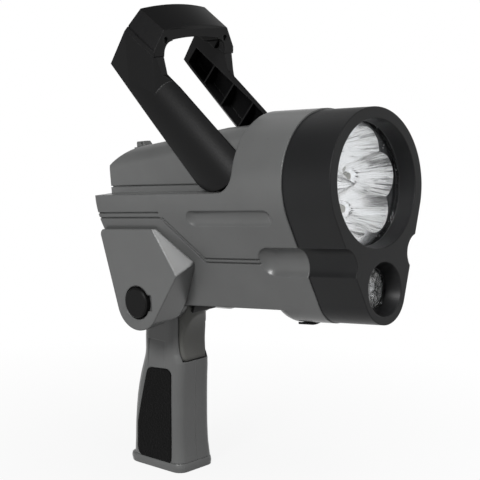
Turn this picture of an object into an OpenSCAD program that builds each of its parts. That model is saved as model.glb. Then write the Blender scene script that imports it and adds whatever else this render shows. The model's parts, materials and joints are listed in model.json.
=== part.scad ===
// Pistol-grip spotlight with a folding carry handle. Millimetres, +Z up, +X along the beam.
// The head is drawn in its own frame: X = 0 at the front rim, Z = 0 on the main lamp's axis.
// The grip is drawn from its pivot, upright, and stands on the floor at Z = 0.

/* [Head] */
// Outer radius of the round front
bezel_radius = 53.5; // [52:0.5:54]
// Outer radius of the lower lobe with the small lamp
lobe_radius = 23.9; // [23:0.1:24.5]
// Distance of the lobe's centre below the main axis
lobe_drop = 75.9; // [75:0.1:77]
// Length of the black bezel along the beam
bezel_depth = 42; // [41:0.5:44]
// Length of the head from front rim to rear wall
head_length = 228.5; // [226:0.5:232]
// Wall of the plastic housings
wall = 3; // [2.6:0.1:3.2]
// Nose-up tilt of the head over the grip, in degrees
head_pitch = 6.5; // [4:0.5:9]

/* [Hump and shelf] */
// Half width of the hump between the handle arms
hump_half = 33; // [32:0.5:33]
// Height of the hump's top above the axis, over the handle axle
hump_top = 45; // [43:0.5:46]
// Forward rise of the hump's top, in degrees
hump_rise = 6.7; // [5:0.1:7]
// Distance of the round barrel's rear face from the front rim
barrel_length = 88; // [84:0.5:89]

/* [Lamps] */
// Radius of the bezel's mouth at the front rim
mouth_radius = 45.5; // [45:0.25:46]
// Depth of the lens behind the front rim
lens_depth = 13; // [12:0.5:14]
// Number of cups in the main reflector
cup_count = 6; // [6:1:7]
// Radius of one reflector cup at its rim
cup_radius = 17.1; // [16:0.1:17.5]
// Depth of one reflector cup
cup_depth = 30; // [26:1:31]
// Radius of the small lamp's recess at the front rim
spot_mouth = 19.4; // [19:0.1:19.8]

/* [Grip] */
// Distance of the grip pivot behind the front rim
pivot_back = 196.3; // [194:0.1:198]
// Distance of the grip pivot below the main axis
pivot_drop = 83; // [82:0.5:84]
// Height of the grip pivot above the floor
pivot_height = 141; // [138:1:144]
// Half width of the grip at its middle
grip_half = 19; // [18.5:0.1:19.5]
// Radius of the grip's knuckle about the pivot
knuckle_radius = 18.5; // [18:0.1:19]
// Radius of the lock button
button_radius = 11.6; // [11:0.1:12]
// Travel of the lock button
button_travel = 3; // [2:0.5:3.5]
// Travel of the trigger
trigger_travel = 5; // [3:0.5:5]

/* [Handle] */
// Distance of the handle axle behind the front rim
axle_back = 113.5; // [113:0.1:115]
// Height of the handle axle above the main axis
axle_rise = 23.5; // [23.4:0.1:24]
// Radius of the round lower end of the handle arms
arm_end_radius = 23; // [22:0.1:23]
// Outer half width across the handle arms
arm_outer = 46.8; // [46:0.1:47.5]
// Travel of the selector slide
selector_travel = 3; // [1:0.5:3]

/* [Hidden] */
$fn = 64;

// Small sizes that several pieces share
seam = 0.1;
seat = 0.1;
fit = 0.05;
slack = 0.3;
dip = 0.004;
far = 400;
body_step = 1;
lobe_step = 0.5;
housing_r = bezel_radius + body_step;
housing_lobe = lobe_radius + lobe_step;
pivot_x = 14;

// Head: shelf, belly, hump and pocket
shield_r = [22.5, 25];
belly_drop = pivot_drop + 6;
shelf_fillet = 15;
lobe_end_x = -71;
lobe_end_r = housing_lobe + 0.3;
foot_half = 7;
hump_round = 14;
hump_rear = -head_length - 4;
hump_mid = -187;
hump_back_r = 71.5;
hump_back_z = hump_top - 78.7;
hump_ref_x = -axle_back - 3.5;
pocket_half = 20;
pocket_front = -pivot_back + shield_r[1] + slack;
pocket_top = -pivot_drop + 36;
front_flange = 4;
main_bore = 45;
spigot_r = 47.7;
spigot_length = 6;

// Side decoration: big groove with a ball end, racetrack recess and engraved lines
groove_y = 44;
groove_z = -54.5;
groove_r = 14.3;
groove_end = -70;
race_r = 8.5;
race_depth = 3.2;
race_backing = wall + 3.6;
race_angle = -20;
race_front = -62.3;
race_back = -130.5;
line_width = 1.1;
line_depth = 1;
line_top = [-13.8, -17.7];
line_low = [-49.8, -52.8];
line_turn = [-164, -134.6];
line_front = -80;
hump_line_z = [4.2, 5.2];
hump_line_front = -140;

// Cheeks: outer face, outline and pivot end
cheek_outer = 51;
cheek_inner = 23.2;
cheek_round = 21.5;
cheek_draft = 35;
cheek_bevel = 15.4;
cheek_under = 14;
cheek_rear = head_length + 1.3;
cheek_top = -26.5;
// Corners of a cheek on the side view: centre and radius, from the pivot end round to the rear
cheek_corners = [
  [-pivot_back, -pivot_drop, cheek_round], [-153.9, -52.4, 7],
  [-166, cheek_top - 8, 8], [-cheek_rear + 4, cheek_top - 4, 4]
];

// Bezel and lamps
lens_r = 46;
lens_thick = 2.4;
bezel_bore = 48;
gasket_r = 47.6;
reflector_face = -lens_depth - lens_thick - 0.4;
reflector_flange = 3;
reflector_body = 43.8;
cup_ring = 24.5;
cup_turn = 8;
led_hole = 3.6;
board_front = reflector_face - cup_depth - 0.1;
spot_z = -lobe_drop + 1.4;
spot_lens_r = 16;
spot_bore = 17.5;
spot_depth = 11;
spot_back = -34;
bezel_screw_y = 12;
bezel_screw_z = -52.5;

// Battery, its tray on ribs, and the driver board
battery_x = [-207, -125];
battery_half = 28;
battery_z = [-25.4, 20];
tray_x = [-209, -122];
tray_half = 29;
tray_gap = 0.2;
tray_floor = [battery_z[0] - 3.1, battery_z[0] - seat];
tray_top = -10;
rib_x = [-200, -130];
rib_half = 1.5;
driver_x = [-128.4, -126.6];
driver_half = 26;
driver_z = [-50, -30];

// Fasteners
screw_r = 1.5;
screw_head_r = 3;
screw_head_h = 2.4;
boss_r = 5;
screw_skin = 0.4;
// Housing screws: x, z and half width of the body there
housing_screw_at = [
  for (s = [[-84, -70], [-142, -75], [-104, -38]]) [s[0], s[1], flank_half(s[1]) - screw_skin],
  [-217, 4, hump_half]
];
// Cheek screws: x and z
cheek_screw_at = [[-178, -60], [-214, -60]];
cheek_screw_end = 42;

// Handle arms and crossbar, as points on the side view
axle_at = [-axle_back, axle_rise];
arm_inner = hump_half + 0.6;
arm_kink = [-206.7, 99.1];
arm_rear_top = [-188.9, 122.3];
arm_front_top = [-163.1, 100.5];
arm_front = [-160.8, 87.5];
arm_front_low = [-88.8, 25.6];
arm_crown_r = 34;
arm_crown_at = 13;
arm_bevel_at = [110, 11.8];
arm_bevel_turn = 2.7;
arm_lean = 135.8;
arm_block_x = -167.5;
arm_yaw = 6;
arm_cell = 22.5;
arm_rib = 1.5;
arm_cell_from = 20;
arm_cell_to = 92;
axle_r = 3;
axle_end = 41;
bar_front_top = [-159.1, 120.1];
bar_rear_top = [-181.3, 138];
bar_arch = 3.5;
bar_arch_r = 182;
bar_draft = 33.8;
bar_mouth = hump_half + 0.2;
bar_beam = 5.6;
bar_mouth_top = bar_front_top[1] - bar_beam;
bar_mouth_round = 8;
bar_screw_y = 32.8;
bar_screw_z = 112.7;
bar_screw_seat = bar_front_top[0] - 4.9;
bar_screw_tip = bar_screw_seat - 13;
bar_screw_r = 1.2;
bar_screw_head = 2;
bar_line_z = [4, 4.9];
bar_line_depth = 0.6;
bar_vec = arm_rear_top - arm_front_top;
bar_len = norm(bar_vec);
bar_tilt = atan2(bar_vec[1], bar_vec[0]);
tenon_y = [29.6, 37.5];
tenon_s = [8, 27];
tenon_h = 8;

// Selector on the rear of the hump
plinth_x = [-231, -218];
plinth_half = 5.5;
plinth_top = 33;
selector_half = 4;
selector_stem = [-226, -223];
switch_top = 17.3;

// Grip, from its pivot: height, rear, front, half width, rear corner, front corner
grip_shape = [
  [-8, -18.5, 9, grip_half - 1.2, 6, 7],
  [-24, -27, 9, grip_half - 1.1, 8, 7],
  [-36, -29, 9, grip_half - 1.1, 9, 7],
  [-46, -28.8, 11, grip_half - 1, 9, 7.5],
  [-53, -29.9, 14.2, grip_half - 0.8, 9.5, 8],
  [-68, -34.7, 13.6, grip_half - 0.4, 10.5, 8],
  [-86, -38.4, 13.1, grip_half, 11, 8],
  [-107, -40.3, 13.2, grip_half + 0.2, 11, 8],
  [-122, -40.5, 14, grip_half + 0.4, 11, 8],
  [-134, -40.7, 15.6, grip_half + 0.9, 11, 8]
];
grip_steps = 2;
corner_steps = 5;
shell_wall = 2.6;
cap_deep = 7;
shell_low = cap_deep - pivot_height;
// The rows and the pads stretch with the length of the shell
grip_stretch = shell_low / grip_shape[len(grip_shape) - 1][0];
grip_rows = [for (q = grip_shape) [q[0] * grip_stretch, q[1], q[2], q[3], q[4], q[5]]];
cap_top = shell_low - seat;
cap_rows = [
  [cap_top, -40.9, 15.6, grip_half + 0.9, 11, 8],
  [cap_top - 0.17 * cap_deep, -44.1, 16, grip_half + 1.2, 12, 8],
  [cap_top - 0.46 * cap_deep, -44.5, 16.4, grip_half + 1.4, 12, 8],
  [-pivot_height, -43.1, 16.2, grip_half + 1.2, 11.5, 8]
];
pad_proud = 0.5;
pad_deep = 2.4;
pad_lean = 1;
// Pad outline on the side view: centre and corner radius of each corner
pad_shape = [[1, -131, 4.5], [-0.7, -64, 5], [-16.7, -66, 5.5], [-23.7, -108, 8], [-22.7, -126, 9]];
pad_corners = [for (c = pad_shape) [c[0], c[1] * grip_stretch, c[2]]];
neck_x = [-21, -3];
neck_top = -37;
neck_length = 24;
neck_deep = 2.3;
neck_fade = 4;
slot_half = 13.8;
slot_top = 2;
slot_low = -52;
trigger_half = 13.4;
trigger_back = -5.5;
trigger_low = -51;
trigger_bulge = [8.6, -13.5, 10.5];
trigger_round = 12.5;
trigger_toe = 15.5;
trigger_toe_round = 7;
trigger_hollow = [51.8, -37, 40];
carrier_front = trigger_back - trigger_travel - 0.7;
carrier_back = -21;
carrier_mid = -16;
carrier_half = grip_half - shell_wall - 1.6;
carrier_neck = 8;
carrier_z = [-42, -23];
spring_z = -32;
spring_r = 3;
hub_r = 9.2;
tube_r = 7;
tube_bore = 5.2;
tube_end = 33;
washer_r = 13;
knuckle_half = 18.2;
shield_low = -26;
shield_high = 26;
shield_half = 13;
// Grip screws: x, z and how far the boss stays inside the grip's half width
grip_screw_at = [[-14, -48, 2.6], [-13.5, -76, 2.5], [-13.5, -122, 1.85]];
grip_screw_seat = 12.5;
flange_r = button_radius + 1.5;
flange_y = [42, 44];
button_face = cheek_outer + 2;

// Placing the head and the grip
module in_grip() {
  translate([pivot_x, 0, pivot_height]) children();
}

module in_head() {
  in_grip() rotate([0, -head_pitch, 0]) translate([pivot_back, 0, pivot_drop]) children();
}

// Extrusions along X from a front view, and along Y from a side view
module along_x(x0, x1) {
  translate([x0, 0, 0]) rotate([90, 0, 90]) linear_extrude(height = x1 - x0) children();
}

module along_y(y0, y1) {
  translate([0, y1, 0]) rotate([90, 0, 0]) linear_extrude(height = y1 - y0) children();
}

module rod_x(x0, x1, r, r2 = -1) {
  translate([x0, 0, 0]) rotate([0, 90, 0]) cylinder(h = x1 - x0, r1 = r, r2 = r2 < 0 ? r : r2);
}

module rod_y(y0, y1, r) {
  translate([0, y0, 0]) rotate([-90, 0, 0]) cylinder(h = y1 - y0, r = r);
}

module block(x, y, z) {
  translate([x[0], y[0], z[0]]) cube([x[1] - x[0], y[1] - y[0], z[1] - z[0]]);
}

module both_sides() {
  children();
  mirror([0, 1, 0]) children();
}

// Direction of the outer tangent's normal from circle a to circle b, taken anticlockwise
function tangent_normal(a, b) =
  atan2(b[1] - a[1], b[0] - a[0]) - 90 + asin((a[2] - b[2]) / norm([b[0] - a[0], b[1] - a[1]]));

// Convex outline around circles given anticlockwise as x, y, radius, its straight sides a hair inside
module round_outline(c) {
  n = len(c);
  polygon([
    for (i = [0:n - 1], k = [0, 1])
      let (t = tangent_normal(c[i], c[(i + 1) % n]), q = c[(i + k) % n])
        [q[0] + (q[2] - dip) * cos(t), q[1] + (q[2] - dip) * sin(t)]
  ]);
  for (q = c)
    if (q[2] > 0)
      translate([q[0], q[1]]) circle(q[2]);
}

// Front view of the head: round top, straight flanks and round lobe
module head_section(inset = 0, r = housing_r, lobe = housing_lobe) {
  round_outline([[0, 0, r - inset], [0, -lobe_drop, lobe - inset]]);
}

// Half width of the head at a height on its straight flanks
function flank_half(z) =
  let (lean = asin((housing_lobe - housing_r) / lobe_drop)) (housing_r - z * sin(lean)) / cos(lean);

// Grooves that run along both sides of bezel and housing
module side_grooves(x0, ball) {
  both_sides() translate([0, groove_y, groove_z]) {
    rod_x(x0, 1, groove_r);
    if (ball)
      translate([x0, 0, 0]) sphere(groove_r);
  }
}

module race_recesses() {
  reach = housing_r + race_r - race_depth;
  both_sides() translate([0, reach * cos(race_angle), reach * sin(race_angle)]) {
    rod_x(race_back, race_front, race_r);
    translate([race_back, 0, 0]) sphere(race_r);
    translate([race_front, 0, 0]) sphere(race_r);
  }
}

module line_strip(a, b) {
  d = b - a;
  n = [-d[1], d[0]] / norm(d) * line_width / 2;
  polygon([a + n, a - n, b - n, b + n]);
}

// Engraved lines, cut only skin deep
module engraved_lines() {
  difference() {
    along_y(-far, far) {
      for (z = line_top)
        line_strip([-far, z], [line_turn[0], z]);
      for (z = line_low)
        line_strip([line_turn[1], z], [line_front, z]);
      line_strip([line_turn[0], line_top[1]], [line_turn[1], line_low[1]]);
      line_strip([line_turn[0] + 2.6, line_top[1]], [line_turn[1] + 0.1, line_low[0]]);
    }
    along_x(-far, 10) head_section(line_depth);
  }
}

// Line around the foot of the hump
module hump_line() {
  both_sides() block([hump_rear - 1, hump_line_front], [hump_half - line_depth, far], hump_line_z);
  block([-far, hump_rear + line_depth], [-far, far], hump_line_z);
}

// Side view of the hump, drawn in by an inset
module hump_side(inset = 0) {
  translate([hump_mid, -far]) square([-barrel_length + 10 - hump_mid, far + hump_top]);
  intersection() {
    translate([hump_mid, hump_back_z]) circle(hump_back_r - inset, $fn = 128);
    translate([hump_rear + inset, -60]) square([hump_mid - hump_rear - inset, 160]);
  }
}

// Hump with rounded top edges, its top rising forward
module hump(inset = 0) {
  w = hump_half - inset;
  r = hump_round - inset;
  intersection() {
    along_y(-w - 1, w + 1) hump_side(inset);
    translate([hump_ref_x, 0, hump_top - inset]) rotate([0, -hump_rise, 0]) along_x(-140, 60) {
      translate([-w, -80]) square([2 * w, 80 - r]);
      translate([-w + r, -r - 1]) square([2 * (w - r), r + 1]);
      translate([-w + r, -r]) circle(r);
      translate([w - r, -r]) circle(r);
    }
    block([-far, -barrel_length + 5], [-far, far], [-30 + inset, far]);
  }
}

// Space above the shelf and behind the barrel
module shelf_space(inset = 0) {
  along_y(-far, far) difference() {
    translate([-far, -inset]) square([far - barrel_length + inset, far]);
    difference() {
      translate([-barrel_length + inset - shelf_fillet, -inset]) square([shelf_fillet + 1, shelf_fillet]);
      translate([-barrel_length + inset - shelf_fillet, shelf_fillet - inset]) circle(shelf_fillet);
    }
  }
}

// Space under the belly and behind the lobe
module belly_space(inset = 0) {
  difference() {
    block([-far, lobe_end_x], [-far, far], [-far, -belly_drop + inset]);
    translate([lobe_end_x, 0, -lobe_drop]) sphere(lobe_end_r - inset);
  }
}

module pocket(grow = 0) {
  block([-far, pocket_front + grow], [-pocket_half - grow, pocket_half + grow], [-far, pocket_top + grow]);
}

module housing_outside() {
  difference() {
    union() {
      difference() {
        along_x(-head_length, -bezel_depth) head_section();
        shelf_space();
      }
      hump();
      block(plinth_x, [-plinth_half, plinth_half], [10, plinth_top]);
    }
    belly_space();
    side_grooves(groove_end, true);
    race_recesses();
    engraved_lines();
    hump_line();
  }
}

module housing_inside() {
  difference() {
    union() {
      difference() {
        along_x(-head_length + wall, -bezel_depth - front_flange) head_section(wall);
        shelf_space(wall);
      }
      hump(wall);
    }
    belly_space(wall);
    pocket(wall);
    both_sides() translate([0, groove_y, groove_z]) {
      rod_x(groove_end, 1, groove_r + wall - 0.6);
      translate([groove_end, 0, 0]) sphere(groove_r + wall - 0.6);
    }
    both_sides()
      block([race_back - 9, race_front + 9], [housing_r - race_depth - race_backing, far], [-30, -8]);
    for (x = rib_x)
      block([x - rib_half, x + rib_half], [-far, far], [-far, tray_floor[0] - seat]);
    for (s = housing_screw_at)
      translate([s[0], 0, s[1]]) rod_y(-s[2] + 1, s[2] - 1, boss_r);
    both_sides() for (c = cheek_screw_at)
      translate([c[0], 0, c[1]]) rod_y(pocket_half, far, boss_r - 0.5);
  }
}

module housing() {
  difference() {
    union() {
      difference() {
        housing_outside();
        housing_inside();
      }
      difference() {
        rod_x(-bezel_depth - front_flange, -bezel_depth + spigot_length, spigot_r);
        rod_x(-bezel_depth - front_flange, -bezel_depth + spigot_length + 1, main_bore);
      }
    }
    rod_x(-bezel_depth - front_flange - 1, -bezel_depth + spigot_length + 1, main_bore);
    translate([0, 0, spot_z]) rod_x(-bezel_depth - front_flange - 1, -bezel_depth + 1, spot_bore);
    pocket();
    translate([-pivot_back, 0, -pivot_drop]) rod_y(-far, far, tube_r + fit);
    translate([axle_at[0], 0, axle_at[1]]) rod_y(-far, far, axle_r + fit);
    block([selector_stem[0] - selector_travel - slack, selector_stem[1] + slack], [-2.3, 2.3], [15, far]);
    for (s = housing_screw_at)
      translate([s[0], 0, s[1]]) {
        rod_y(-14, 5, screw_r + fit);
        rod_y(0, s[2], screw_r + 0.2);
        rod_y(s[2] - 5, far, screw_head_r + 0.4);
      }
    both_sides() for (c = cheek_screw_at)
      translate([c[0], 0, c[1]]) {
        rod_y(0, pocket_half + 2.6, screw_head_r + 0.2);
        rod_y(0, far, screw_r + 0.2);
      }
    for (y = [-bezel_screw_y, bezel_screw_y])
      translate([0, y, bezel_screw_z]) rod_x(-bezel_depth - 10, -bezel_depth + 1, screw_r + 0.2);
  }
}

module right_housing() {
  color("DimGray") in_head() intersection() {
    housing();
    block([-far, far], [-far, -seam / 2], [-far, far]);
  }
}

module left_housing() {
  color("DimGray") in_head() intersection() {
    housing();
    block([-far, far], [seam / 2, far], [-far, far]);
  }
}

// Raised side panel that carries one end of the grip pivot, drawn for the left side
module cheek() {
  nose = cheek_corners[1];
  lean = tangent_normal(nose, cheek_corners[2]);
  difference() {
    along_y(cheek_inner, cheek_outer) round_outline(cheek_corners);
    along_x(-far, 0) head_section(-seat);
    translate([nose[0] + nose[2] * cos(lean), cheek_outer - cheek_bevel, nose[1] + nose[2] * sin(lean)])
      rotate([0, 90 - lean, 0]) rotate([-cheek_draft, 0, 0])
        block([-far, far], [-far, far], [0, far]);
    translate([0, cheek_outer, -pivot_drop - cheek_round]) rotate([-cheek_under, 0, 0])
      block([-far, far], [-far, far], [-far, 0]);
    translate([-pivot_back, 0, -pivot_drop]) rod_y(0, tube_end + slack, tube_r + fit);
    for (c = cheek_screw_at)
      translate([c[0], 0, c[1]]) rod_y(0, cheek_screw_end + 1, screw_r + fit);
    translate([-pivot_back, 0, -pivot_drop]) {
      rod_y(tube_end, flange_y[1] + 0.2, flange_r + slack);
      rod_y(tube_end, far, button_radius + slack);
      rod_y(cheek_outer - 2.6, far, button_radius + 1.4);
      block([0, button_radius + 3.4], [cheek_outer - 2.6, far], [-6, 6]);
    }
  }
}

module right_cheek() {
  color("DimGray") in_head() mirror([0, 1, 0]) cheek();
}

module left_cheek() {
  color("DimGray") in_head() cheek();
}

// Black front ring with the mouths of both lamps
module front_bezel() {
  color([0.12, 0.12, 0.13]) in_head() difference() {
    along_x(-bezel_depth + seat, 0) head_section(0, bezel_radius, lobe_radius);
    side_grooves(-bezel_depth - 1, false);
    rod_x(-lens_depth - 0.01, 0.01, mouth_radius - 1.5, mouth_radius);
    rod_x(-bezel_depth - 1, -lens_depth, bezel_bore);
    translate([0, 0, spot_z]) {
      rod_x(-spot_depth - 0.01, 0.01, spot_lens_r - 1, spot_mouth);
      rod_x(-bezel_depth - 1, -spot_depth, spot_bore);
    }
    for (y = [-bezel_screw_y, bezel_screw_y])
      translate([0, y, bezel_screw_z]) rod_x(-bezel_depth - 1, -bezel_depth + 14, screw_r + fit);
  }
}

module bezel_screws() {
  color("Silver") in_head() for (y = [-bezel_screw_y, bezel_screw_y])
    translate([0, y, bezel_screw_z]) {
      rod_x(-bezel_depth - front_flange - screw_head_h, -bezel_depth - front_flange, screw_head_r);
      rod_x(-bezel_depth - front_flange - 0.5, -bezel_depth + 12, screw_r);
    }
}

module lens_gasket() {
  color([0.08, 0.08, 0.08]) in_head() difference() {
    rod_x(reflector_face, -lens_depth - seat, gasket_r);
    rod_x(reflector_face - 1, 0, lens_r + seat);
  }
}

module main_lens() {
  color([0.8, 0.9, 0.95, 0.3]) in_head() rod_x(-lens_depth - seat - lens_thick, -lens_depth - seat, lens_r);
}

// Bowl of one cup, from its rim back to the hole for the light
module cup() {
  bands = 6;
  rotate([0, 90, 0]) rotate_extrude() polygon(concat(
    [[0, -cup_depth - 3], [led_hole, -cup_depth - 3]],
    [
      for (i = [0:bands])
        [led_hole + (cup_radius - led_hole) * sqrt(i / bands), -cup_depth * (1 - i / bands)]
    ],
    [[cup_radius, 1], [0, 1]]
  ));
}

module main_reflector() {
  color("Gainsboro") in_head() difference() {
    union() {
      rod_x(reflector_face - cup_depth, reflector_face - 1, reflector_body);
      rod_x(reflector_face - reflector_flange, reflector_face - seat, gasket_r);
    }
    for (i = [0:cup_count - 1])
      rotate([cup_turn + i * 360 / cup_count, 0, 0]) translate([reflector_face - seat, cup_ring, 0]) cup();
  }
}

module main_led_board() {
  color("SeaGreen") in_head() rod_x(board_front - 1.6, board_front, reflector_body);
}

module main_leds() {
  color("Khaki") in_head() for (i = [0:cup_count - 1])
    rotate([cup_turn + i * 360 / cup_count, 0, 0]) translate([0, cup_ring, 0])
      rod_x(board_front, board_front + 2.4, led_hole - 0.8);
}

module heat_sink() {
  back = board_front - 1.7;
  color("Silver") in_head() union() {
    rod_x(back - 5, back, reflector_body);
    intersection() {
      rod_x(back - 20, back - 4, reflector_body);
      for (i = [-3:3])
        block([-far, 0], [i * 11 - 1, i * 11 + 1], [-far, far]);
    }
  }
}

module spot_lens() {
  color([0.8, 0.9, 0.95, 0.3]) in_head() translate([0, 0, spot_z])
    rod_x(-spot_depth - seat - lens_thick, -spot_depth - seat, spot_lens_r);
}

module spot_reflector() {
  front = -spot_depth - seat - lens_thick - seat;
  color("Gainsboro") in_head() translate([0, 0, spot_z]) difference() {
    rod_x(spot_back, front, spot_bore - 0.4);
    rod_x(spot_back - 0.1, front + 0.01, 2.6, spot_lens_r - 1.2);
  }
}

module spot_led_board() {
  color("SeaGreen") in_head() translate([0, 0, spot_z]) {
    rod_x(spot_back - 1.7, spot_back - seat, spot_bore - 1);
    rod_x(spot_back - 0.5, spot_back + 1.6, 2);
  }
}

module battery_pack() {
  color("SteelBlue") in_head() block(battery_x, [-battery_half, battery_half], battery_z);
}

module battery_tray() {
  across = [-tray_half, tray_half];
  color([0.2, 0.2, 0.2]) in_head() {
    block(tray_x, across, tray_floor);
    block([tray_x[0], battery_x[0] - tray_gap], across, [tray_floor[0], tray_top]);
    block([battery_x[1] + tray_gap, tray_x[1]], across, [tray_floor[0], tray_top]);
  }
}

module driver_board() {
  color("SeaGreen") in_head() block(driver_x, [-driver_half, driver_half], driver_z);
}

// Two-part thumb piece on the plinth, with its stem
module selector_slide() {
  low = plinth_top + seat;
  color("DimGray") in_head() {
    along_y(-selector_half, selector_half) polygon([
      [-229.5, low], [-229.5, 36.6], [-228.6, 37.4], [-225, 37.4], [-224.6, low + 1.2],
      [-223.2, low + 1.2], [-222.8, 37.4], [-222.2, 37.2], [-219.5, low + 0.6], [-219.5, low]
    ]);
    block(selector_stem, [-2, 2], [switch_top + slack, low + 0.5]);
  }
}

module selector_switch() {
  color([0.2, 0.2, 0.2]) in_head() block([-228, -216], [-5, 5], [9.1, switch_top]);
}

module front_foot() {
  color([0.06, 0.06, 0.06]) in_head() intersection() {
    along_x(lobe_end_x - 4, lobe_end_x + 7) difference() {
      translate([0, -lobe_drop]) circle(housing_lobe + 2);
      translate([0, -lobe_drop]) circle(lobe_end_r + seat);
    }
    block([-far, 0], [-foot_half, foot_half], [-far, -lobe_drop]);
  }
}

module housing_screws() {
  color("Silver") in_head() for (s = housing_screw_at)
    translate([s[0], 0, s[1]]) {
      rod_y(-13, s[2] - 4.5, screw_r);
      rod_y(s[2] - 5 + seat, s[2] - 5 + screw_head_h, screw_head_r);
    }
}

module cheek_screws() {
  color("Silver") in_head() both_sides() for (c = cheek_screw_at)
    translate([c[0], 0, c[1]]) {
      rod_y(pocket_half + 0.3, pocket_half + 2.5, screw_head_r);
      rod_y(pocket_half + 2, cheek_screw_end, screw_r);
    }
}

// Curved black shield between the belly and the knuckle
module knuckle_shield() {
  color([0.08, 0.08, 0.08]) in_grip() intersection() {
    along_y(-shield_half, shield_half) difference() {
      circle(shield_r[1]);
      circle(shield_r[0]);
    }
    along_y(-far, far) polygon([
      [0, 0], far * [cos(shield_low), sin(shield_low)], [far, 0], far * [cos(shield_high), sin(shield_high)]
    ]);
  }
}

module pivot_tube() {
  color("Silver") in_grip() difference() {
    rod_y(-tube_end, tube_end, tube_r);
    rod_y(-tube_end - 1, tube_end + 1, tube_bore);
  }
}

module pivot_washers() {
  gap = (pocket_half - knuckle_half) / 2;
  color("Silver") in_grip() both_sides() difference() {
    rod_y(knuckle_half + gap - 0.7, knuckle_half + gap + 0.7, washer_r);
    rod_y(0, far, tube_r + fit);
  }
}

module left_pivot_cap() {
  color([0.08, 0.08, 0.08]) in_grip() {
    rod_y(flange_y[0], flange_y[1], flange_r);
    rod_y(flange_y[1] - 0.5, cheek_outer - 0.6, button_radius);
    rod_y(tube_end + seat, flange_y[0] + 0.5, tube_r);
  }
}

module lock_button() {
  color([0.08, 0.08, 0.08]) in_grip() mirror([0, 1, 0]) {
    rod_y(flange_y[0], flange_y[1], flange_r);
    rod_y(flange_y[1] - 0.5, button_face - 1, button_radius);
    translate([0, button_face - 1, 0]) rotate([-90, 0, 0])
      cylinder(h = 1, r1 = button_radius, r2 = button_radius - 1);
    rod_y(-10, flange_y[0] + 0.5, tube_bore - fit);
  }
}

module lock_spring() {
  color("Silver") in_grip() mirror([0, 1, 0]) difference() {
    rod_y(tube_end + seat, flange_y[0] - seat, tube_bore + 1.8);
    rod_y(0, far, tube_bore + 0.4);
  }
}

module handle_axle() {
  color("Silver") in_head() translate([axle_at[0], 0, axle_at[1]]) rod_y(-axle_end, axle_end, axle_r);
}

// Side view of one handle arm
module arm_side() {
  back = arm_kink - axle_at;
  lean = atan2(back[1], back[0]) + acos(arm_end_radius / norm(back));
  polygon([
    arm_kink, arm_rear_top, arm_front_top, arm_front, arm_front_low, axle_at,
    axle_at + arm_end_radius * [cos(lean), sin(lean)]
  ]);
  intersection() {
    translate(axle_at) circle(arm_end_radius);
    polygon([arm_front, arm_front_low, arm_front_low + [20, -60], [-200, -60]]);
  }
}

// Front and rear edge of the hollow in an arm, by distance from the axle
function arm_cell_front(u) = -12 + (u - arm_cell_from) * 0.07;
function arm_cell_rear(u) = 17 - (u - arm_cell_from) * 0.085;

// Frame on the slanted seat between arm and crossbar: x from front to rear along the seat, z across it
module on_seat() {
  translate([arm_front_top[0], 0, arm_front_top[1]]) rotate([0, -bar_tilt, 0]) mirror([0, 0, 1]) children();
}

// Round back of one arm, drawn in by an inset
module arm_crown(inset = 0) {
  translate([axle_at[0], arm_outer - arm_crown_r, axle_at[1]]) rotate([0, -arm_lean, 0])
    translate([-60, 0, arm_crown_at]) rod_x(0, 240, arm_crown_r - inset, $fn = 96);
}

// Space outside the upper handle, closing in a little toward the front
module arm_outside() {
  translate([arm_rear_top[0], arm_outer, 0]) rotate([0, 0, -arm_yaw]) translate([-far, 0, -far])
    cube([2 * far, far, 2 * far]);
}

module arm() {
  difference() {
    union() {
      intersection() {
        along_y(arm_inner, 60) arm_side();
        union() {
          arm_crown();
          difference() {
            block([-far, 0], [0, arm_outer], [-far, far]);
            arm_outside();
            translate([arm_block_x, arm_outer, 0]) rotate([0, 0, 45]) translate([0, -far, -far])
              cube([2 * far, 2 * far, 2 * far]);
          }
        }
      }
      on_seat() block(tenon_s, tenon_y, [-0.5, tenon_h]);
    }
    translate([axle_at[0], arm_inner, axle_at[1]]) rotate([0, -arm_lean, 0])
      translate([arm_bevel_at[0], 0, arm_bevel_at[1]]) rotate([0, arm_bevel_turn, 0]) rotate([45, 0, 0])
        translate([-far, -far, 0]) cube([2 * far, 2 * far, far]);
    translate([axle_at[0], 0, axle_at[1]]) rod_y(0, axle_end + 0.2, axle_r + 0.02);
    intersection() {
      arm_crown(2.6);
      translate([axle_at[0], 0, axle_at[1]]) rotate([0, -arm_lean, 0]) along_y(0, arm_outer - 2.6)
        for (u = [arm_cell_from:arm_cell + arm_rib:arm_cell_to])
          polygon([
            [u, arm_cell_front(u)], [u + arm_cell, arm_cell_front(u + arm_cell)],
            [u + arm_cell, arm_cell_rear(u + arm_cell)], [u, arm_cell_rear(u)]
          ]);
    }
    translate([0, bar_screw_y, bar_screw_z]) rod_x(bar_screw_tip, 0, bar_screw_r + fit);
  }
}

module right_handle_arm() {
  color([0.1, 0.1, 0.1]) in_head() mirror([0, 1, 0]) arm();
}

module left_handle_arm() {
  color([0.1, 0.1, 0.1]) in_head() arm();
}

// Side view of the crossbar, left tall where the arched top trims it
module bar_side() {
  up = [0.628, 0.779] * (bar_arch + 2);
  polygon([arm_front_top, bar_front_top, bar_front_top + up, bar_rear_top + up, bar_rear_top, arm_rear_top]);
}

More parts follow.
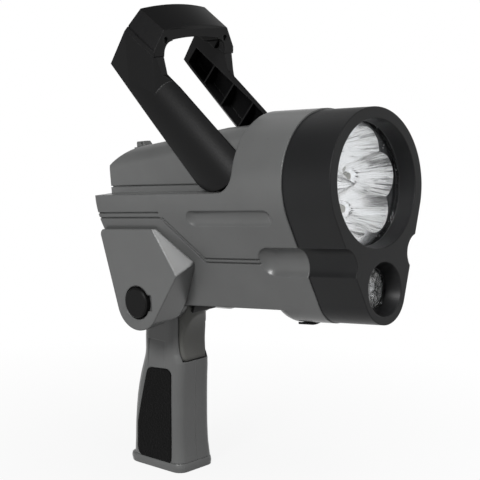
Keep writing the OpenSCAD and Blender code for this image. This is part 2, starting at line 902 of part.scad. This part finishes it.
module handle_crossbar() {
  d = bar_rear_top - bar_front_top;
  t = atan2(d[1], d[0]);
  lift = bar_arch - bar_arch_r;
  color([0.1, 0.1, 0.1]) in_head() difference() {
    intersection() {
      along_y(-arm_outer, arm_outer) bar_side();
      translate([bar_front_top[0] + lift * sin(t), 0, bar_front_top[1] - lift * cos(t)])
        rotate([0, 90 - t, 0]) translate([0, 0, -60]) cylinder(h = 160, r = bar_arch_r, $fn = 256);
    }
    both_sides() arm_outside();
    both_sides() on_seat() translate([0, arm_outer, 0]) rotate([bar_draft, 0, 0])
      translate([-far, 0, -far]) cube([2 * far, far, 2 * far]);
    both_sides() on_seat() translate([0, arm_outer, 0]) rotate([bar_draft, 0, 0])
      block([-far, far], [-bar_line_depth, far], bar_line_z);
    along_x(-far, 0) {
      translate([-bar_mouth, 40]) square([2 * bar_mouth, bar_mouth_top - 50.5]);
      for (y = [-1, 1])
        translate([y * (bar_mouth - bar_mouth_round), bar_mouth_top - 10.5]) circle(bar_mouth_round);
      intersection() {
        translate([0, bar_mouth_top - bar_arch_r]) circle(bar_arch_r, $fn = 256);
        translate([-bar_mouth + bar_mouth_round, 90]) square([2 * (bar_mouth - bar_mouth_round), 60]);
      }
    }
    on_seat() block([6.5, 29.5], [-26, 26], [-20, 11.5]);
    both_sides() {
      on_seat() block([tenon_s[0] - slack, tenon_s[1] + slack], [tenon_y[0] - slack, tenon_y[1] + slack],
                      [-20, tenon_h + slack]);
      translate([0, bar_screw_y, bar_screw_z]) {
        rod_x(bar_screw_tip, 0, bar_screw_r + 0.2);
        rod_x(bar_screw_seat, 0, bar_screw_head + 0.2);
      }
    }
  }
}

module handle_screws() {
  color("Silver") in_head() both_sides() translate([0, bar_screw_y, bar_screw_z]) {
    rod_x(bar_screw_tip + 1, bar_screw_seat + 1, bar_screw_r);
    rod_x(bar_screw_seat + seat, bar_screw_seat + 1.6, bar_screw_head);
  }
}

// Smooth curve through rows, with a few steps between neighbours
function between(a, b, c, d, t) =
  0.5 * (2 * b + (c - a) * t + (2 * a - 5 * b + 4 * c - d) * t * t + (3 * b - a - 3 * c + d) * t * t * t);

function smooth_rows(r, steps) = [
  for (i = [0:len(r) - 2], k = [0:steps - 1])
    between(r[max(i - 1, 0)], r[i], r[i + 1], r[min(i + 2, len(r) - 1)], k / steps),
  r[len(r) - 1]
];

function corner(cx, cy, r, z, a0) =
  [for (k = [0:corner_steps]) let (a = a0 + 90 * k / corner_steps) [cx + r * cos(a), cy + r * sin(a), z]];

function row_ring(q, inset) =
  let (rr = max(q[4] - inset, 0.6), rf = max(q[5] - inset, 0.6), w = q[3] - inset)
  let (x0 = q[1] + inset + rr, x1 = q[2] - inset - rf)
    concat(
      corner(x1, w - rf, rf, q[0], 0), corner(x0, w - rr, rr, q[0], 90),
      corner(x0, -w + rr, rr, q[0], 180), corner(x1, -w + rf, rf, q[0], 270)
    );

// Closed skin through rounded rows, the first row on top
module loft(rows, inset = 0) {
  n = 4 * (corner_steps + 1);
  m = len(rows);
  polyhedron(
    points = [for (q = rows) each row_ring(q, inset)],
    faces = concat(
      [[for (k = [n - 1:-1:0]) k]],
      [for (j = [0:m - 2], k = [0:n - 1]) each [
        [j * n + k, j * n + (k + 1) % n, (j + 1) * n + k],
        [j * n + (k + 1) % n, (j + 1) * n + (k + 1) % n, (j + 1) * n + k]
      ]],
      [[for (k = [0:n - 1]) (m - 1) * n + k]]
    )
  );
}

module grip_loft(inset = 0) {
  loft(smooth_rows(grip_rows, grip_steps), inset);
}

// Corner points of a convex outline around circles given anticlockwise
function round_points(c, steps) = [
  for (i = [0:len(c) - 1])
    let (n = len(c), a = tangent_normal(c[(i + n - 1) % n], c[i]), b = tangent_normal(c[i], c[(i + 1) % n]))
    let (turn = (b - a + 720) % 360)
      for (k = [0:steps])
        let (t = a + turn * k / steps) [c[i][0] + c[i][2] * cos(t), c[i][1] + c[i][2] * sin(t)]
];

module pad_side(grow = 0) {
  polygon(round_points([for (c = pad_corners) [c[0], c[1], c[2] + grow]], 6));
}

// Everything outside the flat seat of one pad, drawn out by a gap
module pad_space(gap = 0) {
  translate([0, grip_half - pad_deep + gap, pad_corners[1][1]]) rotate([pad_lean, 0, 0])
    translate([-far, 0, -far]) cube([2 * far, far, 2 * far]);
}

// Both grip halves with knuckle, trigger slot and screw bosses
module grip_body() {
  difference() {
    union() {
      difference() {
        grip_loft();
        intersection() {
          grip_loft(shell_wall);
          block([-far, far], [-far, far], [shell_low - 10, -22]);
        }
      }
      rod_y(-knuckle_half, knuckle_half, knuckle_radius);
      for (s = grip_screw_at)
        translate([s[0], 0, s[1]]) rod_y(-grip_half + s[2], grip_half - s[2], 4.2);
    }
    rod_y(-far, far, tube_r + fit);
    difference() {
      block([trigger_back - trigger_travel - 0.5, far], [-slot_half, slot_half], [slot_low, slot_top]);
      rod_y(-far, far, hub_r);
    }
    both_sides() translate([0, grip_half - neck_deep, neck_top]) rotate([neck_fade, 0, 0])
      block(neck_x, [0, far], [-neck_length, 0]);
    both_sides() intersection() {
      along_y(8, far) pad_side(slack);
      pad_space();
    }
    for (s = grip_screw_at)
      translate([s[0], 0, s[1]]) {
        rod_y(-12, 5, screw_r + fit);
        rod_y(0, far, screw_r + 0.2);
        rod_y(grip_screw_seat, far, screw_head_r + 0.3);
      }
  }
}

module right_grip_shell() {
  color("DimGray") in_grip() intersection() {
    grip_body();
    block([-far, far], [-far, -seam / 2], [-far, far]);
  }
}

module left_grip_shell() {
  color("DimGray") in_grip() intersection() {
    grip_body();
    block([-far, far], [seam / 2, far], [-far, far]);
  }
}

module grip_base_cap() {
  color("DimGray") in_grip() loft(cap_rows);
}

module grip_pad() {
  intersection() {
    along_y(8, far) pad_side();
    grip_loft(-pad_proud);
    pad_space(seat);
  }
}

module right_grip_pad() {
  color([0.07, 0.07, 0.07]) in_grip() mirror([0, 1, 0]) grip_pad();
}

module left_grip_pad() {
  color([0.07, 0.07, 0.07]) in_grip() grip_pad();
}

module grip_screws() {
  color("Silver") in_grip() for (s = grip_screw_at)
    translate([s[0], 0, s[1]]) {
      rod_y(-11, grip_screw_seat + 0.5, screw_r);
      rod_y(grip_screw_seat + seat, grip_screw_seat + screw_head_h, screw_head_r);
    }
}

// Upright prism with the trigger's plan, its front corners rounded
module trigger_plan(front, round) {
  side = trigger_half - round;
  translate([0, 0, trigger_low - 1]) linear_extrude(height = 1 - trigger_low) round_outline([
    [trigger_back - 1, -trigger_half, 0], [front - round, -side, round],
    [front - round, side, round], [trigger_back - 1, trigger_half, 0]
  ]);
}

// Trigger with a round top and a hollowed front, clear of the hub over its travel
module trigger() {
  half = trigger_half;
  color("DimGray") in_grip() difference() {
    union() {
      intersection() {
        translate([trigger_bulge[0], 0, trigger_bulge[1]]) rod_y(-half, half, trigger_bulge[2]);
        trigger_plan(trigger_bulge[0] + trigger_bulge[2], trigger_round);
      }
      intersection() {
        block([trigger_back, trigger_toe], [-half, half], [trigger_low, trigger_bulge[1] - 4]);
        trigger_plan(trigger_toe, trigger_toe_round);
      }
    }
    translate([trigger_hollow[0], 0, trigger_hollow[1]]) rod_y(-far, far, trigger_hollow[2]);
    rod_y(-far, far, hub_r + 0.6);
    translate([trigger_travel, 0, 0]) rod_y(-far, far, hub_r + 0.6);
    block([0, trigger_travel], [-far, far], [-hub_r - 0.6, 0]);
  }
}

// Carrier across the grip with the switch and the seat of the trigger's spring
module trigger_switch() {
  color([0.2, 0.2, 0.2]) in_grip() difference() {
    union() {
      block([carrier_mid - 0.5, carrier_front], [-carrier_half, carrier_half], carrier_z);
      block([carrier_back, carrier_mid], [-carrier_neck, carrier_neck], carrier_z);
    }
    translate([0, 0, spring_z]) rod_x(carrier_back + 1.6, 0, spring_r + slack);
  }
}

module trigger_spring() {
  color("Silver") in_grip() translate([0, 0, spring_z]) difference() {
    rod_x(carrier_back + 1.6 + seat, trigger_back - seat, spring_r);
    rod_x(-far, far, spring_r - 0.8);
  }
}

right_housing();
left_housing();
right_cheek();
left_cheek();
front_bezel();
bezel_screws();
lens_gasket();
main_lens();
main_reflector();
main_led_board();
main_leds();
heat_sink();
spot_lens();
spot_reflector();
spot_led_board();
battery_pack();
battery_tray();
driver_board();
selector_slide();
selector_switch();
front_foot();
housing_screws();
cheek_screws();
knuckle_shield();
pivot_tube();
pivot_washers();
left_pivot_cap();
lock_button();
lock_spring();
handle_axle();
right_handle_arm();
left_handle_arm();
handle_crossbar();
handle_screws();
right_grip_shell();
left_grip_shell();
grip_base_cap();
right_grip_pad();
left_grip_pad();
grip_screws();
trigger();
trigger_spring();
trigger_switch();
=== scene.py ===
import json
import math
import random

import bpy
from mathutils import Matrix, Vector


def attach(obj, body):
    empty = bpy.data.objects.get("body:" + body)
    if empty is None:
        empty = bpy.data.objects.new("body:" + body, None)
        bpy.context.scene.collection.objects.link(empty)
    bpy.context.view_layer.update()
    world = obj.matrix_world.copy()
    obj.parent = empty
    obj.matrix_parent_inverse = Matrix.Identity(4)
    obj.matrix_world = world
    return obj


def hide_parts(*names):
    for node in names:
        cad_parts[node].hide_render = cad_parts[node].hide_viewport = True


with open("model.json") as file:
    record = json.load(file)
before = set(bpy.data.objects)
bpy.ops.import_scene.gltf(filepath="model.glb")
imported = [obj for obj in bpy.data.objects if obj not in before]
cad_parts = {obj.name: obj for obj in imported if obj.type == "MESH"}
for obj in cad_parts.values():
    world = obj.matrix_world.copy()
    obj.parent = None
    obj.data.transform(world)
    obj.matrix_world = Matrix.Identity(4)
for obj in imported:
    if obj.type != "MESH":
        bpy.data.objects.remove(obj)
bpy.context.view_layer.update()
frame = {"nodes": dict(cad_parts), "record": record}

# The head's own frame, in millimetres: X = 0 at the front rim, Z = 0 on the main lamp's axis.
# Its place in the shared frame is in metres and degrees.
MILLIMETRE = 0.001
PIVOT = (0.014, 0, 0.141)
HEAD_TILT = -6.5
FRONT_FROM_PIVOT = (0.1963, 0, 0.083)
HEAD = (
    Matrix.Translation(PIVOT)
    @ Matrix.Rotation(math.radians(HEAD_TILT), 4, "Y")
    @ Matrix.Translation(FRONT_FROM_PIVOT)
    @ Matrix.Scale(MILLIMETRE, 4)
)


# Shader helpers
def new_node(tree, kind, **sockets):
    """A shader node with its input sockets set by name."""
    node = tree.nodes.new("ShaderNode" + kind)
    for name, value in sockets.items():
        node.inputs[name.replace("_", " ")].default_value = value
    return node


def pattern(tree, kind, **sockets):
    """A node that reads the object's own coordinates."""
    place = new_node(tree, "TexCoord")
    texture = new_node(tree, kind, **sockets)
    tree.links.new(place.outputs["Object"], texture.inputs["Vector"])
    return texture


def noise(tree, scale, detail=3.0):
    return pattern(tree, "TexNoise", Scale=scale, Detail=detail).outputs["Fac"]


def cells(tree, scale):
    return pattern(tree, "TexVoronoi", Scale=scale).outputs["Distance"]


def ramp(tree, source, low, high, start=0.3, end=0.7):
    """Colour that runs from low to high while the source goes from start to end."""
    node = new_node(tree, "ValToRGB")
    for stop, position, colour in zip(node.color_ramp.elements, (start, end), (low, high)):
        stop.position = position
        stop.color = (*colour, 1)
    tree.links.new(source, node.inputs["Fac"])
    return node.outputs["Color"]


def spread(tree, source, low, high):
    """Number that runs from low to high while the source goes from 0 to 1."""
    node = new_node(tree, "MapRange", To_Min=low, To_Max=high)
    tree.links.new(source, node.inputs["Value"])
    return node.outputs["Result"]


def maths(tree, operation, first, second):
    node = new_node(tree, "Math")
    node.operation = operation
    tree.links.new(first, node.inputs[0])
    tree.links.new(second, node.inputs[1])
    return node.outputs[0]


def mix_shaders(tree, weight, first, second, output):
    """Blend of two shaders, sent to the tree's output node."""
    mix = new_node(tree, "MixShader")
    tree.links.new(weight, mix.inputs[0])
    tree.links.new(first.outputs[0], mix.inputs[1])
    tree.links.new(second.outputs[0], mix.inputs[2])
    tree.links.new(mix.outputs[0], tree.nodes[output].inputs["Surface"])


def empty_material(name):
    """A material without its first shader, and its node tree."""
    m = bpy.data.materials.new(name)
    m.use_nodes = True
    m.node_tree.nodes.remove(m.node_tree.nodes["Principled BSDF"])
    return m, m.node_tree


# Materials
CLOUD_SCALE, GRAIN_DETAIL, ROUGH_SPREAD, EDGE_SAMPLES = 22, 4, 0.06, 6
GRAIN_HEIGHT, PEBBLE_HEIGHT = 0.0004, 0.0008
LENS_CLOUD, SHEEN_ROUGH, SHARE_SPREAD = 60, 0.06, 0.015
LENS_GRAIN_DEPTH, LENS_GRAIN_HEIGHT = 0.6, 0.001


def surface(
    name, colour, rough, gloss=0.25, grain=700, depth=0.12, vary=0.07, edge=0.0007, metal=0.0
):
    """Moulded or metal surface: clouded colour, fine grain and softened edges."""
    m = bpy.data.materials.new(name)
    m.use_nodes = True
    tree = m.node_tree
    shade = tree.nodes["Principled BSDF"]
    shade.inputs["Metallic"].default_value = metal
    shade.inputs["Specular IOR Level"].default_value = gloss
    low = [c * (1 - vary) for c in colour]
    high = [c * (1 + vary) for c in colour]
    tree.links.new(ramp(tree, noise(tree, CLOUD_SCALE), low, high), shade.inputs["Base Color"])
    fine = noise(tree, grain, GRAIN_DETAIL)
    roughness = spread(tree, fine, rough - ROUGH_SPREAD, rough + ROUGH_SPREAD)
    tree.links.new(roughness, shade.inputs["Roughness"])
    soft = new_node(tree, "Bevel", Radius=edge)
    soft.samples = EDGE_SAMPLES
    bump = new_node(tree, "Bump", Strength=depth, Distance=GRAIN_HEIGHT)
    tree.links.new(fine, bump.inputs["Height"])
    tree.links.new(soft.outputs["Normal"], bump.inputs["Normal"])
    tree.links.new(bump.outputs["Normal"], shade.inputs["Normal"])
    return m


def pebbled(name, colour, rough, gloss, scale, depth):
    """Rubber with a raised pebble grain."""
    m = surface(name, colour, rough, gloss)
    tree = m.node_tree
    bump = next(n for n in tree.nodes if n.type == "BUMP")
    bump.inputs["Strength"].default_value = depth
    bump.inputs["Distance"].default_value = PEBBLE_HEIGHT
    tree.links.new(cells(tree, scale), bump.inputs["Height"])
    return m


def clear(name, share, grain=0.0):
    """Clear window: mostly see-through, with a faint sheen that may have a grain."""
    m, tree = empty_material(name)
    sheen = new_node(tree, "BsdfGlossy", Roughness=SHEEN_ROUGH)
    through = new_node(tree, "BsdfTransparent")
    cloud = noise(tree, LENS_CLOUD)
    tint = ramp(tree, cloud, (0.95, 0.96, 0.97), (0.99, 0.99, 1.0))
    tree.links.new(tint, through.inputs["Color"])
    if grain:
        bump = new_node(tree, "Bump", Strength=LENS_GRAIN_DEPTH, Distance=LENS_GRAIN_HEIGHT)
        tree.links.new(cells(tree, grain), bump.inputs["Height"])
        tree.links.new(bump.outputs["Normal"], sheen.inputs["Normal"])
    weight = spread(tree, cloud, share - SHARE_SPREAD, share + SHARE_SPREAD)
    mix_shaders(tree, weight, through, sheen, "Material Output")
    return m


GREY_TONE = (0.114, 0.116, 0.115)
GREY = surface("grey_plastic", GREY_TONE, 0.3, 0.45, depth=0.05, edge=0.0014)
CHEEK = surface("cheek_plastic", GREY_TONE, 0.3, 0.45, depth=0.05, edge=0.002)
TRIGGER = surface("trigger_plastic", (0.108, 0.108, 0.1), 0.4, 0.3, edge=0.0045)
BEZEL = surface("bezel_plastic", (0.0118, 0.012, 0.0125), 0.4, 0.17, edge=0.0014)
HANDLE = surface("handle_plastic", (0.006, 0.006, 0.0062), 0.34, 0.13, edge=0.0012)
BUTTON = surface("button_plastic", (0.006, 0.006, 0.006), 0.42, 0.1)
PAD = pebbled("pad_rubber", (0.005, 0.005, 0.005), 0.6, 0.07, 650, 0.7)
RUBBER = pebbled("foot_rubber", (0.006, 0.006, 0.006), 0.7, 0.1, 900, 0.4)
STEEL = surface("steel", (0.5, 0.5, 0.51), 0.35, metal=1.0, edge=0.0003)
DARK_STEEL = surface("dark_steel", (0.012, 0.012, 0.012), 0.45, 0.3, edge=0.0002)
ALLOY = surface("alloy", (0.6, 0.6, 0.62), 0.4, metal=1.0)
BOARD = surface("board", (0.03, 0.15, 0.07), 0.5)
WHITE_BOARD = surface("white_board", (0.75, 0.75, 0.73), 0.5)
CHIP = surface("chip", (0.86, 0.85, 0.78), 0.4)
INNER = surface("inner_plastic", (0.03, 0.03, 0.03), 0.6)
BATTERY = surface("battery_sleeve", (0.05, 0.1, 0.2), 0.5)
CHROME = surface(
    "bright_coating", (0.96, 0.96, 0.95), 0.12,
    grain=90, depth=0.04, vary=0.03, edge=0.0003, metal=1.0,
)
SATIN = surface(
    "satin_coating", (0.85, 0.85, 0.84), 0.25, grain=300, depth=0.06, vary=0.04, metal=1.0
)
SPOT = surface(
    "spot_coating", (0.4, 0.4, 0.39), 0.25,
    grain=300, depth=0.3, vary=0.4, edge=0.0002, metal=1.0,
)
LENS = clear("clear_lens", 0.03)
SPOT_LENS = clear("textured_lens", 0.05, 260)

BY_SLOT = {
    "body_grey": GREY, "bezel_black": BEZEL, "handle_black": HANDLE, "pad_rubber": PAD,
    "button_black": BUTTON, "lens_clear": LENS, "reflector_bright": CHROME,
    "trigger_grey": TRIGGER, "steel": STEEL, "board_green": BOARD, "chip_yellow": CHIP,
    "sink_alloy": ALLOY, "battery_blue": BATTERY, "inner_black": INNER,
}
# Pieces that differ from the rest of their slot
BY_NODE = {
    "front_foot": RUBBER, "spot_lens": SPOT_LENS, "handle_screws": DARK_STEEL,
    "main_led_board": WHITE_BOARD, "right_cheek": CHEEK, "left_cheek": CHEEK,
}
for part in frame["record"]["subparts"]:
    coats = frame["nodes"][part["node"]].data.materials
    coats.clear()
    coats.append(BY_NODE.get(part["node"], BY_SLOT[part["material_slot"]]))


def mesh_piece(name, verts, faces, material, body, slot, replaced, smooth):
    """A mesh written in the head's millimetres, placed in the shared frame."""
    mesh = bpy.data.meshes.new(name)
    mesh.from_pydata([HEAD @ Vector(v) for v in verts], [], faces)
    mesh.update()
    for p in mesh.polygons:
        p.use_smooth = smooth
    o = bpy.data.objects.new(name, mesh)
    bpy.context.scene.collection.objects.link(o)
    mesh.materials.append(material)
    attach(o, body)
    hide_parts(*replaced)
    return o


# Main reflector: deep cups in a ring that meet in ridges, and the plate around them.
# Each cup is made of long narrow strips, which lean at random and are joined by small steps.
FACE, PLATE_R, PLATE_STEPS = -15.9, 47.5, 720
CUPS, RING, TURN = 6, 24.5, 8
CUP_R, CUP_DEEP, HOLE = 17.1, 30.0, 3.6
# Cosines of directions in a cup: where its wall starts to flatten, and where its round rim ends
RIDGE_START, ROUND_SIDE, EDGE_ON = 0.2, -0.5, 1e-6
RIDGE_SPARE = 1.0
STRIPS, STRIP_RINGS, STRIP_TILT, STRIP_SEED = 72, 18, 0.65, 11


def cup_edge(t):
    """Reach of a cup in direction t, measured from the direction away from the lamp's axis."""
    half = RING * math.sin(math.pi / CUPS)
    reach = CUP_R if math.cos(t) > ROUND_SIDE else RING
    for side in (1, -1):
        c = math.cos(t - side * (math.pi / 2 + math.pi / CUPS))
        if c > EDGE_ON:
            reach = min(reach, half / c)
    return reach


def cup_x(r, t):
    """Depth of a cup's wall, flatter toward the lamp's axis so that the ridges meet there."""
    inward = min(max((-math.cos(t) - RIDGE_START) / (1 - RIDGE_START), 0.0), 1.0)
    rim = CUP_R + (RING + RIDGE_SPARE - CUP_R) * inward * inward * (3 - 2 * inward)
    return FACE - CUP_DEEP * (1 - ((r - HOLE) / (rim - HOLE)) ** 2)


def cup_angle(i):
    return math.radians(TURN + 360 * i / CUPS)


def strip_point(a, k, j, slope):
    """Point on the edge k of a strip, at its ring j, in the cup at angle a."""
    t = 2 * math.pi * k / STRIPS
    r = HOLE + (cup_edge(t) - HOLE) * j / STRIP_RINGS
    x = min(cup_x(r, t) + slope * r * math.pi / STRIPS, FACE)
    y = RING * math.cos(a) + r * math.cos(a + t)
    z = RING * math.sin(a) + r * math.sin(a + t)
    return x, y, z


def main_bowls():
    rnd = random.Random(STRIP_SEED)
    verts, faces = [], []
    for i in range(CUPS):
        a = cup_angle(i)
        tilts = [rnd.uniform(-STRIP_TILT, STRIP_TILT) for k in range(STRIPS)]
        for k in range(STRIPS):
            following = tilts[(k + 1) % STRIPS]
            strip = ((k, -tilts[k]), (k + 1, tilts[k]))
            step = ((k + 1, tilts[k]), (k + 1, -following))
            for sides in (strip, step):
                base = len(verts)
                for j in range(STRIP_RINGS + 1):
                    verts += [strip_point(a, n, j, slope) for n, slope in sides]
                for b in range(base, base + 2 * STRIP_RINGS, 2):
                    faces.append((b, b + 1, b + 3, b + 2))
    return verts, faces


def cups_reach(t):
    """Distance from the lamp's axis to the far edge of the cups in direction t."""
    far = 0.0
    for i in range(CUPS):
        a = cup_angle(i)
        along, off = RING * math.cos(t - a), RING * math.sin(t - a)
        if along > 0 and abs(off) < CUP_R:
            far = max(far, along + math.sqrt(CUP_R ** 2 - off ** 2))
    return far


def main_plate():
    verts, faces = [], []
    for k in range(PLATE_STEPS):
        t = 2 * math.pi * k / PLATE_STEPS
        for r in (cups_reach(t), PLATE_R):
            verts.append((FACE, r * math.cos(t), r * math.sin(t)))
        b0, b1 = 2 * k, 2 * ((k + 1) % PLATE_STEPS)
        faces.append((b0, b0 + 1, b1 + 1, b1))
    return verts, faces


bowls = mesh_piece(
    "main_bowls", *main_bowls(), CHROME, "head", "reflector_bright", ["main_reflector"], True
)
mesh_piece(
    "main_plate", *main_plate(), SATIN, "head", "reflector_bright", ["main_reflector"], True
)

# Small reflector: a cone of little flat facets, with a rim and an outer wall
SPOT_Z, SPOT_AROUND, SPOT_RINGS, SPOT_SEED = -74.5, 16, 6, 4
SPOT_HOLE, SPOT_R, SPOT_WALL_R = 2.6, 14.8, 17.0
SPOT_BACK, SPOT_DEEP, SPOT_CURVE, SPOT_UNEVEN = -33.9, 20.2, 1.2, 0.7
SPOT_RIM = -13.6


def spot_point(x, r, k, row):
    """Point k of a ring, turned by half a step on every second row."""
    t = 2 * math.pi * (k + 0.5 * (row % 2)) / SPOT_AROUND
    return x, r * math.cos(t), SPOT_Z + r * math.sin(t)


def spot_bowl():
    rnd = random.Random(SPOT_SEED)
    verts, faces = [], []
    for j in range(SPOT_RINGS + 1):
        r = SPOT_HOLE + (SPOT_R - SPOT_HOLE) * j / SPOT_RINGS
        for k in range(SPOT_AROUND):
            uneven = rnd.uniform(-SPOT_UNEVEN, SPOT_UNEVEN) * (0 < j < SPOT_RINGS)
            x = SPOT_BACK + SPOT_DEEP * (j / SPOT_RINGS) ** SPOT_CURVE + uneven
            verts.append(spot_point(x, r, k, j))
    for j in range(SPOT_RINGS):
        for k in range(SPOT_AROUND):
            n = (k + 1) % SPOT_AROUND
            b0, b1 = j * SPOT_AROUND, (j + 1) * SPOT_AROUND
            if j % 2:
                faces += [(b0 + k, b1 + n, b0 + n), (b0 + k, b1 + k, b1 + n)]
            else:
                faces += [(b0 + k, b1 + k, b0 + n), (b0 + n, b1 + k, b1 + n)]
    top, wall = SPOT_RINGS * SPOT_AROUND, len(verts)
    for x in (SPOT_RIM, SPOT_BACK):
        verts += [spot_point(x, SPOT_WALL_R, k, SPOT_RINGS) for k in range(SPOT_AROUND)]
    low = wall + SPOT_AROUND
    for k in range(SPOT_AROUND):
        n = (k + 1) % SPOT_AROUND
        faces.append((top + k, wall + k, wall + n, top + n))
        faces.append((wall + k, low + k, low + n, wall + n))
    return verts, faces


mesh_piece("spot_bowl", *spot_bowl(), SPOT, "head", "reflector_bright", ["spot_reflector"], False)

# Studio: white floor and background, soft lights
FLOOR_HALF, PAPER_CLOUD = 8, 3
PAPER_LOW, PAPER_HIGH = (0.3, 0.3, 0.3), (0.34, 0.34, 0.34)
SHADOW_SCALE, SHADOW_SHARE = (2.4, 2.4, 2.4), 0.9
ROOM_LOW, ROOM_HIGH, ROOM_START, ROOM_END = (0.13, 0.13, 0.132), (0.16, 0.16, 0.16), 0.15, 0.85
WHITE, SCREEN = (1.0, 1.0, 1.0), (0.15, 0.15, 0.15)
SCREEN_SLOPE, SCREEN_START, SCREEN_END = (-0.6, 0, 1), 0.48, 0.75
AIM = (0.08, 0, 0.22)


def shown(tree):
    """1 for the rays that show the white background: from the camera, off gloss or through glass."""
    ray = new_node(tree, "LightPath").outputs
    mirrored = maths(tree, "MAXIMUM", ray["Is Camera Ray"], ray["Is Glossy Ray"])
    return maths(tree, "MAXIMUM", mirrored, ray["Is Transmission Ray"])


def white_stage():
    """Floor that shows white, and a little of its paper near the part, where the shadow falls."""
    h = FLOOR_HALF
    mesh = bpy.data.meshes.new("floor")
    mesh.from_pydata([(-h, -h, 0), (h, -h, 0), (h, h, 0), (-h, h, 0)], [], [(0, 1, 2, 3)])
    floor = bpy.data.objects.new("floor", mesh)
    bpy.context.scene.collection.objects.link(floor)
    m, tree = empty_material("floor_white")
    flat = new_node(tree, "Emission", Color=(*WHITE, 1), Strength=1.0)
    paper = new_node(tree, "BsdfDiffuse")
    tone = ramp(tree, noise(tree, PAPER_CLOUD), PAPER_LOW, PAPER_HIGH)
    tree.links.new(tone, paper.inputs["Color"])
    near = new_node(tree, "TexGradient")
    near.gradient_type = "SPHERICAL"
    around = pattern(tree, "Mapping", Scale=SHADOW_SCALE)
    tree.links.new(around.outputs["Vector"], near.inputs["Vector"])
    share = spread(tree, near.outputs["Fac"], 1.0, SHADOW_SHARE)
    weight = maths(tree, "MULTIPLY", shown(tree), share)
    mix_shaders(tree, weight, paper, flat, "Material Output")
    mesh.materials.append(m)


def sky():
    """White to the camera, white walls with a dark rear screen in gloss, a dim room as soft light."""
    world = bpy.data.worlds.new("studio")
    bpy.context.scene.world = world
    world.use_nodes = True
    tree = world.node_tree
    way = new_node(tree, "TexCoord").outputs["Generated"]
    height = new_node(tree, "SeparateXYZ")
    tree.links.new(way, height.inputs["Vector"])
    room = tree.nodes["Background"]
    dim = ramp(tree, height.outputs["Z"], ROOM_LOW, ROOM_HIGH, ROOM_START, ROOM_END)
    tree.links.new(dim, room.inputs["Color"])
    lean = new_node(tree, "VectorMath")
    lean.operation = "DOT_PRODUCT"
    lean.inputs[1].default_value = SCREEN_SLOPE
    tree.links.new(way, lean.inputs[0])
    walls = ramp(tree, lean.outputs["Value"], WHITE, SCREEN, SCREEN_START, SCREEN_END)
    seen = maths(tree, "MAXIMUM", walls, new_node(tree, "LightPath").outputs["Is Camera Ray"])
    white = new_node(tree, "Background", Color=(*WHITE, 1))
    tree.links.new(seen, white.inputs["Strength"])
    mix_shaders(tree, shown(tree), room, white, "World Output")


def area(name, place, size, power):
    """Round lamp that points at the part."""
    lamp = bpy.data.lights.new(name, "AREA")
    lamp.shape = "DISK"
    lamp.size = size
    lamp.energy = power
    o = bpy.data.objects.new(name, lamp)
    o.location = place
    o.rotation_euler = (Vector(AIM) - Vector(place)).to_track_quat("-Z", "Y").to_euler()
    bpy.context.scene.collection.objects.link(o)
    return o


white_stage()
sky()
area("key", (0.45, -1.72, 1.4), size=0.6, power=34.5)
front = area("front", (1.1, -0.62, 1.9), size=0.6, power=12.5)
area("rear", (-1.2, 0.6, 1.2), size=1.2, power=1.5)

# The front lamp leaves out the cups, where its mirror image would be a white blot
unlit = bpy.data.collections.new("not_lit_by_front")
unlit.objects.link(bowls)
unlit.collection_objects[0].light_linking.link_state = "EXCLUDE"
front.light_linking.receiver_collection = unlit

# Camera at the photo's place and angle
camera = bpy.data.cameras.new("camera")
camera.sensor_width = 36
camera.lens = 112.5
camera.clip_end = 50
eye = bpy.data.objects.new("camera", camera)
eye.matrix_world = Matrix((
    (0.7526, -0.1209, 0.6472, 0.80695),
    (0.6583, 0.1290, -0.7416, -0.8408),
    (0.0061, 0.9842, 0.1767, 0.3905),
    (0, 0, 0, 1),
))
bpy.context.scene.collection.objects.link(eye)
bpy.context.scene.camera = eye
bpy.context.scene.view_settings.view_transform = "Standard"
